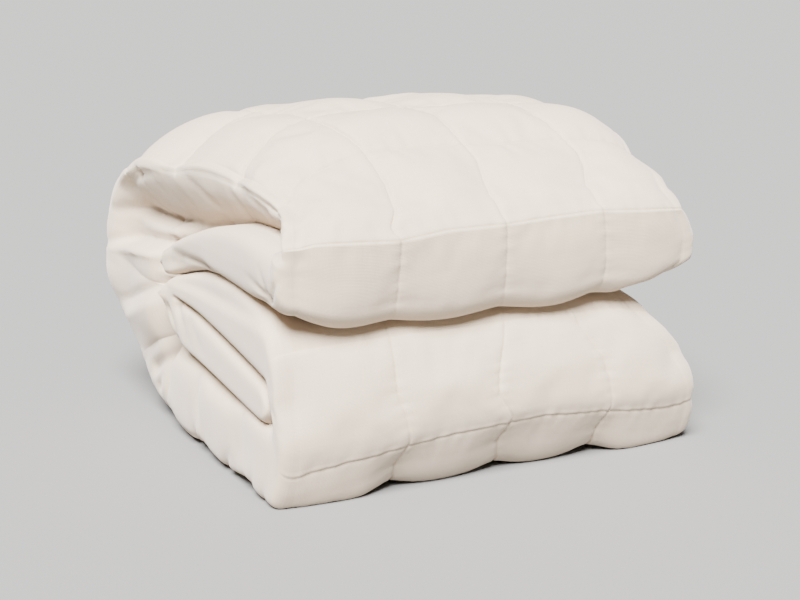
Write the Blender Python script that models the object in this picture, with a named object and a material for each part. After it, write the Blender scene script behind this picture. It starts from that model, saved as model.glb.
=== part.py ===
"""Weighted blanket, box-stitched in squares and folded into a compact stack.

The blanket is one long padded strip that lies back and forth: an inner top fold, an
outer top fold, a wide turn round the back, a floor fold, a turn up the front, a lower
top fold and an inner tongue. Its stitched squares stand up as pillows on every side
that shows. X runs along the front of the stack, Y from front to back, Z up.
All sizes are in metres.
"""
import math
from collections import namedtuple

import bmesh
import bpy
import numpy as np

# Driving sizes
CELL = 0.100                 # side of one stitched square
CELLS_WIDE = 4               # squares along the front
ROWS_ROUND = 10              # squares over the top, from the upper front seam to the lower
UPPER_SEAM_HEIGHT = 0.211    # the seam along the upper front nose, above the floor
LOWER_SEAM_HEIGHT = 0.037    # the seam along the lower front nose
SEAM_DEPTH = 0.4             # share of a square's puff that its edges lie below the face
CROWN = 0.034                # rise of the outer top fold along the middle of the stack
CROWN_RIGHT = 0.4            # share of it left at the right end; at the left there is none
END_ROUND = 0.016            # bulge of a layer's padded end past its stitched edge
END_PINCH = 0.5              # share of that bulge lost beside a seam that shows
BACK_BULGE = 0.010           # how much further the ends of the wide back turn bulge
BACK_RISE = (0.03, 0.12)     # heights between which that bulge swells to its full size
END_THIN = 0.14              # share of a layer's half thickness lost at its stitched edge
TIP_LENGTH = 0.017           # rounding of the strip's two hemmed tips
TIP_THIN = 0.62              # share of a tip's thickness lost at its hem
SHOW_LENGTH = 0.030          # stretch over which the pillows fade between the layers
PUFFS = (0.005, 0.005, 0.005, 0.005, 0.007, 0.009, 0.009, 0.010, 0.010, 0.009, 0.004)
                             # rise of a square's middle over its edges, for each row
COLOUR = (0.780, 0.725, 0.665, 1.0)
ROUGHNESS = 0.85

# The strip's straight stretches in section, from the inner top fold to the tongue: the
# middle line from start to end, the thickness there, and the rise of its outer face.
Run = namedtuple("Run", "name y_start y_end z_start z_end thick_start thick_end bow")
RUNS = (
    Run("inner top fold", 0.213, 0.014, 0.1683, 0.1758, 0.046, 0.052, 0.011),
    Run("outer top fold", 0.014, 0.235, 0.2173, 0.2225, 0.024, 0.056, 0.012),
    Run("floor fold",     0.235, 0.022, 0.0350, 0.0285, 0.072, 0.059, 0.000),
    Run("lower top fold", 0.024, 0.200, 0.1225, 0.1290, 0.050, 0.030, 0.008),
    Run("inner tongue",   0.200, 0.038, 0.0925, 0.0775, 0.036, 0.034, 0.000),
)

# The turns between them: how far the outer and the inner face swing past the stretches'
# ends, and the stations on a square's side there.
Turn = namedtuple("Turn", "name outer_reach inner_reach stations")
TURNS = (
    Turn("upper front nose", 0.026, 0.003, 8),
    Turn("wide back turn",   0.172, 0.003, 4),
    Turn("lower front nose", 0.026, 0.005, 8),
    Turn("tongue turn",      0.031, 0.003, 8),
)

# How far the folds' left and right ends are drawn in at each height above the floor.
# Between the upper and the lower nose they part, most of all on the right.
Lean = namedtuple("Lean", "height left right")
LEANS = (
    Lean(0.000, 0.000, 0.004),
    Lean(0.040, 0.000, -0.005),
    Lean(0.090, 0.000, 0.012),
    Lean(0.120, 0.000, 0.034),
    Lean(0.140, 0.000, 0.060),
    Lean(0.149, 0.004, 0.070),
    Lean(0.151, 0.004, 0.050),
    Lean(0.165, 0.002, 0.024),
    Lean(0.185, 0.000, 0.012),
    Lean(0.215, 0.000, 0.018),
    Lean(0.290, 0.004, 0.014),
)
LEAN_FADE = (0.15, 0.30)     # they are drawn in no more from here to here along Y
RUN_STATIONS = 4             # stations on a square's side along a straight stretch
TIP_STATIONS = 3             # stations round a hemmed tip
LAYERS = 4                   # faces through a padded end
FINE = 200                   # samples along a stretch or turn, before the stations

LENGTH = CELL * CELLS_WIDE
HALF = 0.5 * LENGTH - END_ROUND


def ends_of(run):
    """Outer and inner point of a stretch's start, then of its end. The outer face is the
    one that shows, so it is underneath where the strip comes forward."""
    sign = math.copysign(0.5, run.y_end - run.y_start)
    rows = ((run.y_start, run.z_start, run.thick_start),
            (run.y_end, run.z_end, run.thick_end))
    return [[np.array((y, z + side * sign * thick)) for side in (1, -1)]
            for y, z, thick in rows]


def run_faces(run):
    """Samples of a stretch's outer and inner face, the outer one bowed as a parabola."""
    part = np.linspace(0.0, 1.0, FINE, endpoint=False)[:, None]
    starts, ends = ends_of(run)
    faces = [start + part * (end - start) for start, end in zip(starts, ends)]
    faces[0][:, 1] += (4.0 * run.bow * part * (1.0 - part))[:, 0]
    return faces


def turn_faces(before, after, turn):
    """Samples of a turn's outer and inner face. Each is a cubic curve that meets the
    stretches head on, with handles a third longer than its reach, because the curve
    only goes three quarters of the way to them."""
    part = np.linspace(0.0, 1.0, FINE, endpoint=False)[:, None]
    rest = 1.0 - part
    faces = []
    for side, reach in enumerate((turn.outer_reach, turn.inner_reach)):
        run_in, start = [end[side] for end in ends_of(before)]
        end, run_out = [end[side] for end in ends_of(after)]
        leave = start + (start - run_in) / np.linalg.norm(start - run_in) * reach / 0.75
        meet = end + (end - run_out) / np.linalg.norm(end - run_out) * reach / 0.75
        faces.append(rest**3 * start + 3.0 * rest**2 * part * leave
                     + 3.0 * rest * part**2 * meet + part**3 * end)
    return faces


def fold_section():
    """The section, finely sampled: outer face, inner face, and the stations on a
    square's side for each stretch and turn."""
    outer, inner, spans = [], [], []
    for index, run in enumerate(RUNS):
        pieces = [(run_faces(run), RUN_STATIONS)]
        if index < len(TURNS):
            turn = TURNS[index]
            pieces.append((turn_faces(run, RUNS[index + 1], turn), turn.stations))
        for faces, stations in pieces:
            outer.append(faces[0])
            inner.append(faces[1])
            spans.append(stations)
    last_outer, last_inner = ends_of(RUNS[-1])[1]
    return np.vstack(outer + [last_outer]), np.vstack(inner + [last_inner]), spans


def distance_along(line):
    steps = np.linalg.norm(np.diff(line, axis=0), axis=1)
    return np.concatenate(([0.0], np.cumsum(steps)))


def seam_distance(outer, along, span, height):
    """Distance along the outer face at which a front nose has its seam."""
    nose = slice(span * FINE, (span + 1) * FINE)
    return along[nose][np.argmin(np.abs(outer[nose, 1] - height))]


def station_marks(along, spans, first_seam, pitch):
    """Distances of the stations: the seams, and even steps between them."""
    marks = [along[0], along[-1]]
    for index, stations in enumerate(spans):
        step = pitch / stations
        first = math.ceil((along[index * FINE] - first_seam) / step)
        last = math.floor((along[(index + 1) * FINE] - first_seam) / step)
        marks.extend(first_seam + step * np.arange(first, last + 1))
    marks = np.unique(np.round(marks, 6))
    return marks[np.concatenate(([True], np.diff(marks) > 0.003))]


def smooth_step(value, low, high):
    part = np.clip((value - low) / (high - low), 0.0, 1.0)
    return part * part * (3.0 - 2.0 * part)


def ridge(cells):
    """Nought on a seam and one in the middle of a square, steep beside the seam."""
    return np.abs(np.sin(math.pi * cells)) ** 0.7


def fold_stations():
    """Everything that changes along the strip, a value for each station: middle, half
    thickness, row of squares, strength of the pillows, rise of the crown, and share
    left of the thickness."""
    outer, inner, spans = fold_section()
    along = distance_along(outer)
    first_seam = seam_distance(outer, along, 1, UPPER_SEAM_HEIGHT)
    last_seam = seam_distance(outer, along, 5, LOWER_SEAM_HEIGHT)
    pitch = (last_seam - first_seam) / ROWS_ROUND
    marks = station_marks(along, spans, first_seam, pitch)

    def at_marks(values):
        return np.stack([np.interp(marks, along, value) for value in values.T], axis=1)

    middle = at_marks(0.5 * (outer + inner))
    half = at_marks(0.5 * (outer - inner))
    row = (marks - first_seam) / pitch
    show = smooth_step(marks, along[FINE], along[FINE] + SHOW_LENGTH)
    show *= smooth_step(-marks, -along[6 * FINE], SHOW_LENGTH - along[6 * FINE])
    crown = CROWN * smooth_step(row, 0.0, 1.4) * (1.0 - smooth_step(row, 3.0, 5.0))
    return dict(middle=middle, half=half, row=row, show=show, crown=crown,
                thin=np.ones(len(marks)))


def add_tips(strip):
    """Rounds off both ends of the strip with stations that move on along a quarter
    circle while the thickness falls off."""
    turn = np.linspace(0.0, 0.5 * math.pi, TIP_STATIONS + 1)[1:]
    for end, inside in ((0, 1), (-1, -2)):
        way = strip["middle"][end] - strip["middle"][inside]
        way = way / np.linalg.norm(way)
        added = {name: np.repeat(values[[end]], TIP_STATIONS, axis=0)
                 for name, values in strip.items()}
        added["middle"] = added["middle"] + np.outer(TIP_LENGTH * np.sin(turn), way)
        added["thin"] = 1.0 - TIP_THIN * (1.0 - np.cos(turn))
        for name, values in strip.items():
            if end == 0:
                strip[name] = np.concatenate((added[name][::-1], values))
            else:
                strip[name] = np.concatenate((values, added[name]))


def columns_across():
    """Places across the blanket from -1 to 1: the seams and even steps between them,
    with a closer step beside each padded end."""
    step = CELL / RUN_STATIONS
    last = 0.5 * LENGTH - 2 * step
    inside = np.linspace(-last, last, round(2 * last / step) + 1)
    beside = HALF - 0.4 * step
    return np.concatenate(([-HALF, -beside], inside, [beside, HALF])) / HALF


def cut_along(slab, axis, pieces):
    """Cuts the slab into even pieces along one axis."""
    edges = []
    for edge in slab.edges:
        start, end = edge.verts
        if abs(start.co[axis] - end.co[axis]) > 0.001:
            edges.append(edge)
    bmesh.ops.subdivide_edges(slab, edges=edges, cuts=pieces - 1, use_grid_fill=True)


def cut_slab(counts):
    """A cube cut into stations, columns and layers, and those of each of its corners."""
    slab = bmesh.new()
    bmesh.ops.create_cube(slab, size=2.0)
    for axis, pieces in enumerate(counts):
        cut_along(slab, axis, pieces)
    mesh = bpy.data.meshes.new("blanket")
    slab.to_mesh(mesh)
    slab.free()
    corners = np.empty(3 * len(mesh.vertices))
    mesh.vertices.foreach_get("co", corners)
    shares = 0.5 * (corners.reshape(-1, 3) + 1.0)
    return mesh, np.rint(shares * np.array(counts)).astype(int).T


def fold_corners(strip, columns, station, column, layer):
    """Places of the slab's corners on the folded strip. The pillows and the crown lift
    the outer face, which falls towards its stitched edges; the padded ends bulge as
    squarish half circles, less so beside a seam that shows."""
    across = columns[column]
    through = np.sin(0.5 * math.pi * (2.0 * layer / LAYERS - 1.0))
    row = strip["row"][station]
    half = strip["half"][station]
    outward = half / np.linalg.norm(half, axis=1)[:, None]
    showing = 0.5 + 0.5 * through
    thin = strip["thin"][station] * (1.0 - END_THIN * across**8 * showing)
    pillow = ridge(row) * ridge(across * HALF / CELL) - SEAM_DEPTH
    puff = np.interp(row, 0.5 + np.arange(len(PUFFS)), PUFFS)
    lift = strip["show"][station] * puff * pillow
    droop = np.where(across < 0.0, 1.0, 1.0 - CROWN_RIGHT)
    lift += strip["crown"][station] * (1.0 - droop * across**6)
    lift *= showing
    section = strip["middle"][station] + half * (through * thin)[:, None]
    section += outward * lift[:, None]

    pinch = END_PINCH * strip["show"][station] * (1.0 - ridge(row))
    bulge = END_ROUND * (1.0 - pinch) * np.sqrt(1.0 - through**4)
    reach = HALF + np.where(np.abs(across) == 1.0, bulge, 0.0)
    reach -= drawn_in(across, *section.T) * across**2
    return np.column_stack((across * reach, section[:, 0], np.maximum(section[:, 1], 0.0)))


def drawn_in(across, depth, height):
    """How far a fold's nearer end is drawn in, at a place in the section."""
    leans = np.array([lean[:] for lean in LEANS])
    left = np.interp(height, leans[:, 0], leans[:, 1])
    right = np.interp(height, leans[:, 0], leans[:, 2])
    behind = smooth_step(depth, *LEAN_FADE)
    bulge = BACK_BULGE * smooth_step(height, *BACK_RISE)
    return np.where(across < 0.0, left, right) * (1.0 - behind) - bulge * behind


def blanket_material():
    material = bpy.data.materials.new("cream woven cover")
    material.use_nodes = True
    shader = material.node_tree.nodes["Principled BSDF"]
    shader.inputs["Base Color"].default_value = COLOUR
    shader.inputs["Roughness"].default_value = ROUGHNESS
    shader.inputs["Metallic"].default_value = 0.0
    return material


def build_blanket():
    """The folded blanket, centred over the origin and standing on the floor."""
    strip = fold_stations()
    add_tips(strip)
    columns = columns_across()
    counts = (len(strip["row"]) - 1, len(columns) - 1, LAYERS)
    mesh, places = cut_slab(counts)
    corners = fold_corners(strip, columns, *places)
    centre = 0.5 * (corners.min(axis=0) + corners.max(axis=0))
    corners[:, :2] -= centre[:2]
    mesh.vertices.foreach_set("co", corners.ravel())
    mesh.shade_smooth()
    mesh.update()

    faces = bmesh.new()
    faces.from_mesh(mesh)
    bmesh.ops.recalc_face_normals(faces, faces=faces.faces)
    faces.to_mesh(mesh)
    faces.free()
    mesh.materials.append(blanket_material())
    return bpy.data.objects.new("blanket", mesh)


def main():
    for item in list(bpy.data.objects):
        bpy.data.objects.remove(item, do_unlink=True)
    collection = bpy.data.collections.new("weighted_blanket")
    bpy.context.scene.collection.children.link(collection)
    collection.objects.link(build_blanket())


main()
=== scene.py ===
"""Looks of the folded weighted blanket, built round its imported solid.

The filled cover is one closed padded surface on a grid: one way runs along the folded
strip, the other runs round it. Cloth simulation swells the stitched squares, and the
seams, hems, gathers and creases are worked into the same surface after it.
X runs along the front folds, Y from the front to the wide back turn, Z up, in metres.
"""

import math
from collections import namedtuple

import bpy
import numpy as np
from bpy.props import FloatProperty, FloatVectorProperty, IntProperty, PointerProperty
from mathutils import Matrix, Vector


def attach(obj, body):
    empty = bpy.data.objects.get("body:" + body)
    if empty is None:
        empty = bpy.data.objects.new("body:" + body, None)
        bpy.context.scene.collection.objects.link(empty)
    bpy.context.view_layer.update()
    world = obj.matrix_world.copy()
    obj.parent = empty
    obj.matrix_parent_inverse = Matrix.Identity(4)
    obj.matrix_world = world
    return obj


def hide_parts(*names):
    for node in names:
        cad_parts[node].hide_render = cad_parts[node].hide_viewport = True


bl_info = {
    "name": "Folded weighted blanket",
    "version": (1, 0, 0),
    "blender": (4, 5, 0),
    "location": "View3D > Sidebar > Blanket",
    "description": "Builds a filled blanket, stitched in squares and folded into a stack",
    "category": "Object",
}

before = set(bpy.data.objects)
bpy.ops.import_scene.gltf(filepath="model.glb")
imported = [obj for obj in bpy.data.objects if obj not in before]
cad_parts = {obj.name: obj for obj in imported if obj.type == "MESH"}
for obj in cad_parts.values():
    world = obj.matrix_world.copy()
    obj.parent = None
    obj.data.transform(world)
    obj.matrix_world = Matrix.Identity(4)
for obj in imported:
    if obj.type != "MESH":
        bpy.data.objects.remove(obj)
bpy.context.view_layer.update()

# The folded strip
CELL = 0.100                 # side of one stitched square
CELLS_WIDE = 4               # squares along the front
ROWS_ROUND = 10              # squares over the top, from the upper front seam to the lower
UPPER_SEAM_HEIGHT = 0.211    # the seam along the upper front nose, above the floor
LOWER_SEAM_HEIGHT = 0.037    # the seam along the lower front nose
END_ROUND = 0.016            # bulge of a layer's padded end past its stitched edge
END_THIN = 0.14              # share of a layer's half thickness lost at its stitched edge
TIP_LENGTH = 0.017           # rounding of the strip's two hemmed tips
SHOW_LENGTH = 0.030          # stretch over which the pillows fade between the layers
FINE = 200                   # samples along each stretch and turn of the section
HALF = 0.5 * CELL * CELLS_WIDE - END_ROUND
MIDDLE_Y = 0.1975            # the section's own Y at the middle of the stack
PILLOW_BASE = 0.4            # share of a pillow's height by which its seams lie low

# The grid of points
NEAR_SEAM = (0.0008, 0.0017, 0.0030)    # distances of the extra points beside each seam
HIDDEN_STEP = 0.008          # step between points inside the stack
COARSE_STEP = 0.0058         # step of the coarse copy that is simulated
COARSE_HIDDEN_STEP = 0.012   # the same inside the stack

# The simulation
PUFF_BEFORE = 0.75           # share of the pillows that the cloth has before it
SEAM_HELD = 0.002            # the cloth is held within this distance of a seam
END_HOLD = 0.6               # how firmly it is held at the seams round a padded end
HEM_HOLD = 0.5               # how firmly it is held along the hem

# Straight stretches in section: middle line, thickness, and rise of the outer and the
# inner face over a straight line.
Run = namedtuple("Run", "name y_start y_end z_start z_end thick_start thick_end bow belly")
RUNS = (
    Run("inner top fold", 0.222, 0.014, 0.1610, 0.1775, 0.029, 0.055, 0.0160, 0.0160),
    Run("outer top fold", 0.014, 0.235, 0.2173, 0.2050, 0.024, 0.085, 0.0120, 0.0040),
    Run("floor fold",     0.235, 0.022, 0.0395, 0.0325, 0.081, 0.067, 0.0000, 0.0000),
    Run("lower top fold", 0.024, 0.207, 0.1245, 0.1400, 0.053, 0.022, 0.0160, 0.0000),
    Run("inner tongue",   0.200, 0.038, 0.1050, 0.0815, 0.045, 0.034, 0.0000, 0.0000),
)

# Turns between them: how far the outer and the inner face swing past the stretches.
Turn = namedtuple("Turn", "name outer_reach inner_reach")
TURNS = (
    Turn("upper front nose", 0.026, 0.003),
    Turn("wide back turn",   0.172, 0.003),
    Turn("lower front nose", 0.026, 0.005),
    Turn("tongue turn",      0.031, 0.003),
)

# How far the left and right ends are drawn in at each height above the floor.
LEANS = np.array((
    (0.000, 0.000, -0.002), (0.030, 0.000, -0.004), (0.050, 0.000, 0.000),
    (0.070, 0.000, 0.009), (0.090, 0.000, 0.020), (0.105, 0.000, 0.032),
    (0.120, 0.000, 0.046), (0.140, 0.000, 0.063), (0.146, 0.004, 0.060),
    (0.150, 0.004, 0.028), (0.165, 0.002, 0.010), (0.185, 0.000, 0.011),
    (0.205, 0.000, 0.018), (0.225, 0.000, 0.027), (0.245, 0.003, 0.021),
    (0.265, 0.008, 0.012), (0.290, 0.010, 0.010)))
LEAN_FADE = (0.15, 0.30)     # they are drawn in no more from here to here along Y
BACK_IN = 0.005              # how far the ends of the wide back turn are drawn in, low down
BACK_BULGE = 0.018           # how much further than that they bulge higher up
BACK_RISE = (0.05, 0.13)     # heights between which that bulge swells to its full size

# Along the strip, in rows of squares: the rise of a square's middle over its edges, the
# strength of the seams that run along the strip, and the share of the swelling kept.
ALONG = np.array((
    (-1.5, 0.0010, 0.10, 0.2), (-0.9, 0.0020, 0.15, 0.3), (-0.5, 0.0030, 0.20, 0.4),
    (-0.05, 0.0030, 0.25, 0.5), (0.1, 0.0045, 0.70, 0.8), (0.5, 0.0045, 0.90, 1.0),
    (1.5, 0.0055, 1.00, 1.0), (2.5, 0.0060, 1.00, 1.0), (3.5, 0.0060, 1.00, 1.0),
    (4.5, 0.0080, 1.00, 1.0), (5.5, 0.0090, 1.00, 1.0), (6.5, 0.0100, 1.00, 1.0),
    (7.5, 0.0120, 1.00, 1.0), (8.5, 0.0120, 1.00, 1.0), (9.3, 0.0080, 1.00, 0.4),
    (9.6, 0.0045, 0.80, 0.2), (9.9, 0.0030, 0.50, 0.2), (10.15, 0.0030, 0.30, 0.4),
    (10.5, 0.0030, 0.30, 0.6), (11.0, 0.0020, 0.25, 0.3), (11.5, 0.0010, 0.20, 0.2)))
CROWN = 0.036                # rise of the outer top fold along the middle of the stack
CROWN_RIGHT = 0.48           # share of it left at the right end; at the left there is none

# Seams that don't run straight. Each row of squares: its number, then how far its seam
# is moved on along the strip at places across, in squares.
BEND_PLACES = (-1.0, -0.93, -0.8, -0.55, -0.3, 0.0, 0.2, 0.5, 0.75, 1.0)
ROW_BENDS = {
    0:  (0.00, 0.02, 0.00, -0.03, 0.02, 0.02, 0.04, 0.06, 0.03, 0.02),
    1:  (-0.42, -0.33, -0.20, -0.11, -0.12, -0.13, -0.15, -0.14, -0.15, -0.16),
    2:  (-0.62, -0.56, -0.40, -0.22, -0.14, -0.12, -0.14, -0.20, -0.22, -0.20),
    3:  (-0.60, -0.52, -0.38, -0.22, -0.12, -0.08, -0.08, -0.10, -0.12, -0.10),
    4:  (-0.42, -0.36, -0.25, -0.12, -0.05, -0.02, 0.0, 0.0, 0.0, 0.0),
    5:  (-0.25, -0.20, -0.12, -0.05, 0.0, 0.0, 0.0, 0.0, 0.0, 0.0),
    10: (-0.17, -0.10, -0.02, 0.03, 0.08, 0.09, 0.11, 0.06, 0.00, -0.08),
}
# How far the three seams along the strip are moved to the right, at rows of squares.
COLUMN_BENDS = np.array((
    (-1.0, 0.00, 0.00, 0.00), (0.0, 0.00, -0.03, -0.05), (0.12, -0.03, -0.037, -0.06),
    (0.3, 0.03, -0.035, -0.05), (0.6, 0.06, -0.005, 0.01), (0.8, 0.06, 0.02, 0.03),
    (1.05, 0.05, 0.00, 0.00), (1.4, 0.01, 0.00, -0.03), (2.0, 0.00, 0.00, 0.00),
    (9.2, 0.02, 0.02, -0.02), (9.55, 0.04, 0.03, -0.01), (9.8, 0.02, -0.01, -0.02),
    (10.05, 0.06, 0.03, 0.015), (10.3, 0.03, -0.05, 0.005), (10.5, 0.00, -0.04, -0.01),
    (10.85, 0.00, 0.01, -0.10), (11.2, 0.00, 0.05, -0.13), (12.0, 0.00, 0.00, 0.00)))

# Where the front folds are drawn in under themselves: the row of squares, the stretch's
# half length in rows, how far, and how much more where the other seams cross.
TUCKS = ((9.60, 0.36, 0.0005, 0.0042), (-0.72, 0.30, 0.0000, 0.0050))

# How the front folds' outer face differs from a plain turn: the row of squares, then how
# far it is moved along Y and along Z. Each fold is foremost at its seam and falls back
# below it, and the two folds press together between them.
FRONT = np.array((
    (-2.30, 0.0000, 0.0000), (-2.00, 0.0000, -0.0060), (-1.50, 0.0000, -0.0130),
    (-1.20, -0.0017, -0.0169), (-1.00, -0.0032, -0.0176), (-0.90, -0.0045, -0.0167),
    (-0.80, -0.0070, -0.0146), (-0.70, -0.0065, -0.0109), (-0.60, -0.0045, -0.0075),
    (-0.50, -0.0005, -0.0048), (-0.40, 0.0020, -0.0034), (-0.30, 0.0026, -0.0021),
    (-0.20, 0.0010, -0.0010), (-0.10, -0.0019, -0.0003), (0.00, -0.0060, 0.0010),
    (0.10, -0.0040, 0.0000), (0.20, -0.0025, 0.0000), (0.35, 0.0000, 0.0000),
    (9.20, -0.0010, 0.0000), (9.35, -0.0015, 0.0000), (9.45, 0.0010, 0.0005),
    (9.53, 0.0030, 0.0010), (9.60, 0.0035, 0.0005), (9.70, 0.0027, 0.0000),
    (9.80, 0.0010, 0.0000), (9.90, -0.0022, 0.0000), (10.00, -0.0054, 0.0000),
    (10.10, -0.0076, 0.0000), (10.20, -0.0082, 0.0000), (10.30, -0.0076, 0.0000),
    (10.40, -0.0062, 0.0000), (10.50, -0.0048, 0.0000), (10.60, -0.0034, 0.0000),
    (10.80, -0.0010, -0.0007), (10.90, 0.0001, -0.0018), (11.00, 0.0015, -0.0040),
    (11.10, 0.0031, -0.0070), (11.20, 0.0033, -0.0095), (11.30, 0.0024, -0.0106),
    (11.50, 0.0014, -0.0112), (12.00, 0.0000, -0.0085), (13.00, 0.0000, -0.0030)))
# How much the outermost squares of the lower fold differ from that: the row of squares,
# then along Y and along Z. They reach the floor further forward.
FRONT_OUTER = np.array((
    (9.35, 0.0000, 0.0000), (9.50, -0.0050, -0.0010), (9.60, -0.0074, -0.0020),
    (9.70, -0.0053, -0.0021), (9.80, -0.0031, -0.0015), (9.90, -0.0012, -0.0008),
    (10.0, 0.0000, 0.0000)))
# How far the folds' outer face falls off at the two ends, against the row of squares.
FRONT_ROUND = np.array((
    (-1.2, 0.000), (-0.5, 0.006), (0.1, 0.005), (0.5, 0.000), (9.7, 0.000),
    (10.1, 0.006), (11.0, 0.007), (11.5, 0.000)))
# Share of a padded end's bulge lost at the row seams, against the row of squares, at
# the left end and at the right one.
PINCHES = np.array((
    (-1.0, 0.15, 0.3), (0.0, 0.10, 0.4), (3.2, 0.06, 0.4), (4.0, 0.04, 0.4),
    (5.0, 0.08, 0.5), (6.0, 0.15, 0.5), (9.5, 0.12, 0.5), (10.5, 0.05, 0.1),
    (12.0, 0.0, 0.0)))
HEM_BELOW = 0.0065           # the hem seam's distance below the outer face
HEM_DEPTH = 0.0010           # depth of its valley
FRONT_SEAM = 0.22            # share of a seam's depth kept on the two front noses
ROW_SEAM = 0.6               # the same for the other seams across the strip
WAVES = 7                    # waves summed in each set of gathers
END_WRAP = 0.030             # half the cloth's length round a padded end
SLOPE_FADE = 0.050           # length over which a slope of the left end starts and stops

# Stretches of the left end that slope in from an upper edge to a lower one: the depth
# at each of the two, how far below the lower one the back turn comes out again, the rows
# of squares it belongs to, and the section's Y with the heights of the two edges.
Slope = namedtuple("Slope", "upper_depth lower_depth comes_out first_row last_row edges")
END_SLOPES = (
    # the outer top fold from its hem down to the layer below
    Slope(0.0, 0.038, 0.010, -0.2, 5.0, np.array((
        (-0.012, 0.243, 0.204), (0.029, 0.246, 0.204), (0.056, 0.250, 0.205),
        (0.096, 0.253, 0.204), (0.154, 0.252, 0.200), (0.220, 0.242, 0.190),
        (0.271, 0.236, 0.188), (0.324, 0.222, 0.189), (0.367, 0.205, 0.190)))),
    # the back turn, down to each of its two upper seams
    Slope(0.024, 0.028, 0.012, 1.0, 7.0, np.array((
        (0.225, 0.190, 0.170), (0.247, 0.189, 0.169), (0.275, 0.188, 0.167),
        (0.309, 0.188, 0.165), (0.343, 0.189, 0.160), (0.379, 0.190, 0.153)))),
    Slope(0.008, 0.010, 0.020, 1.0, 7.0, np.array((
        (0.224, 0.165, 0.145), (0.254, 0.163, 0.134), (0.272, 0.161, 0.128),
        (0.305, 0.158, 0.116), (0.341, 0.153, 0.104), (0.378, 0.147, 0.092)))),
)


def smooth_step(value, low, high):
    part = np.clip((value - low) / (high - low), 0.0, 1.0)
    return part * part * (3.0 - 2.0 * part)


def ridge(cells, power=0.7):
    """Nought on a seam and one in the middle of a square: the sine's size to a power."""
    return np.abs(np.sin(math.pi * cells)) ** power


def ends_of(run):
    """Outer and inner point of a stretch's start, then of its end, half the thickness
    each side of the middle line. The outer face is the one that shows."""
    sign = math.copysign(0.5, run.y_end - run.y_start)
    rows = ((run.y_start, run.z_start, run.thick_start),
            (run.y_end, run.z_end, run.thick_end))
    return [[np.array((y, z + side * sign * thick)) for side in (1, -1)]
            for y, z, thick in rows]


def run_faces(run):
    """A stretch's outer and inner face: straight lines, each bowed as a parabola."""
    part = np.linspace(0.0, 1.0, FINE, endpoint=False)[:, None]
    faces = [start + part * (end - start) for start, end in zip(*ends_of(run))]
    for face, rise in zip(faces, (run.bow, run.belly)):
        face[:, 1] += (4.0 * rise * part * (1.0 - part))[:, 0]
    return faces


def turn_faces(before, after, turn):
    """A turn's outer and inner face: cubic curves that meet the stretches head on."""
    part = np.linspace(0.0, 1.0, FINE, endpoint=False)[:, None]
    rest = 1.0 - part
    faces = []
    for side, reach in enumerate((turn.outer_reach, turn.inner_reach)):
        run_in, start = [end[side] for end in ends_of(before)]
        end, run_out = [end[side] for end in ends_of(after)]
        leave = start + (start - run_in) / np.linalg.norm(start - run_in) * reach / 0.75
        meet = end + (end - run_out) / np.linalg.norm(end - run_out) * reach / 0.75
        faces.append(rest**3 * start + 3.0 * rest**2 * part * leave
                     + 3.0 * rest * part**2 * meet + part**3 * end)
    return faces


def soften(line, width):
    """A line's samples after a moving average, with its two ends kept."""
    kernel = np.hanning(2 * width + 3)[1:-1]
    kernel /= kernel.sum()
    padded = np.vstack([np.repeat(line[:1], width, axis=0), line,
                        np.repeat(line[-1:], width, axis=0)])
    return np.stack([np.convolve(column, kernel, "valid") for column in padded.T], axis=1)


def fold_section():
    """The section, finely sampled, as values against the row of squares: middle line,
    half thickness, strength of the pillows, and share left of the thickness, with both
    tips rounded off along a quarter circle."""
    outer, inner = [], []
    for index, run in enumerate(RUNS):
        pieces = [run_faces(run)]
        if index < len(TURNS):
            pieces.append(turn_faces(run, RUNS[index + 1], TURNS[index]))
        for faces in pieces:
            outer.append(faces[0])
            inner.append(faces[1])
    last_outer, last_inner = ends_of(RUNS[-1])[1]
    outer = np.vstack(outer + [last_outer])
    inner = np.vstack(inner + [last_inner])
    along = np.concatenate(([0.0], np.cumsum(np.linalg.norm(np.diff(outer, axis=0), axis=1))))

    def seam_at(span, height):
        nose = slice(span * FINE, (span + 1) * FINE)
        return along[nose][np.argmin(np.abs(outer[nose, 1] - height))]

    first = seam_at(1, UPPER_SEAM_HEIGHT)
    pitch = (seam_at(5, LOWER_SEAM_HEIGHT) - first) / ROWS_ROUND
    show = smooth_step(along, along[FINE], along[FINE] + SHOW_LENGTH)
    show *= smooth_step(-along, -along[6 * FINE], SHOW_LENGTH - along[6 * FINE])

    even = np.linspace(0.0, along[-1], 6 * FINE)
    outer = np.stack([np.interp(even, along, axis) for axis in outer.T], axis=1)
    inner = np.stack([np.interp(even, along, axis) for axis in inner.T], axis=1)
    show = np.interp(even, along, show)
    outer = soften(outer, 5)
    middle = 0.5 * (outer + inner)
    half = 0.5 * (outer - inner)
    row = (even - first) / pitch

    turn = np.linspace(0.0, 0.5 * math.pi, 12)[1:]
    thin = np.ones(len(row))
    for end, inside in ((0, 1), (-1, -2)):
        way = middle[end] - middle[inside]
        way = way / np.linalg.norm(way)
        tip = middle[end] + np.outer(TIP_LENGTH * np.sin(turn), way)
        step = math.copysign(1.0, row[end] - row[inside])
        parts = (tip, np.repeat(half[[end]], len(turn), axis=0),
                 row[end] + step * TIP_LENGTH * np.sin(turn) / pitch,
                 np.zeros(len(turn)), np.cos(turn) * 0.75 + 0.25)
        lists = (middle, half, row, show, thin)
        if end == 0:
            middle, half, row, show, thin = [
                np.concatenate((part[::-1], values)) for part, values in zip(parts, lists)]
        else:
            middle, half, row, show, thin = [
                np.concatenate((values, part)) for part, values in zip(parts, lists)]
    return dict(middle=middle, half=half, row=row, show=show, thin=thin, pitch=pitch)


SECTION = fold_section()
PITCH = SECTION["pitch"]


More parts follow.
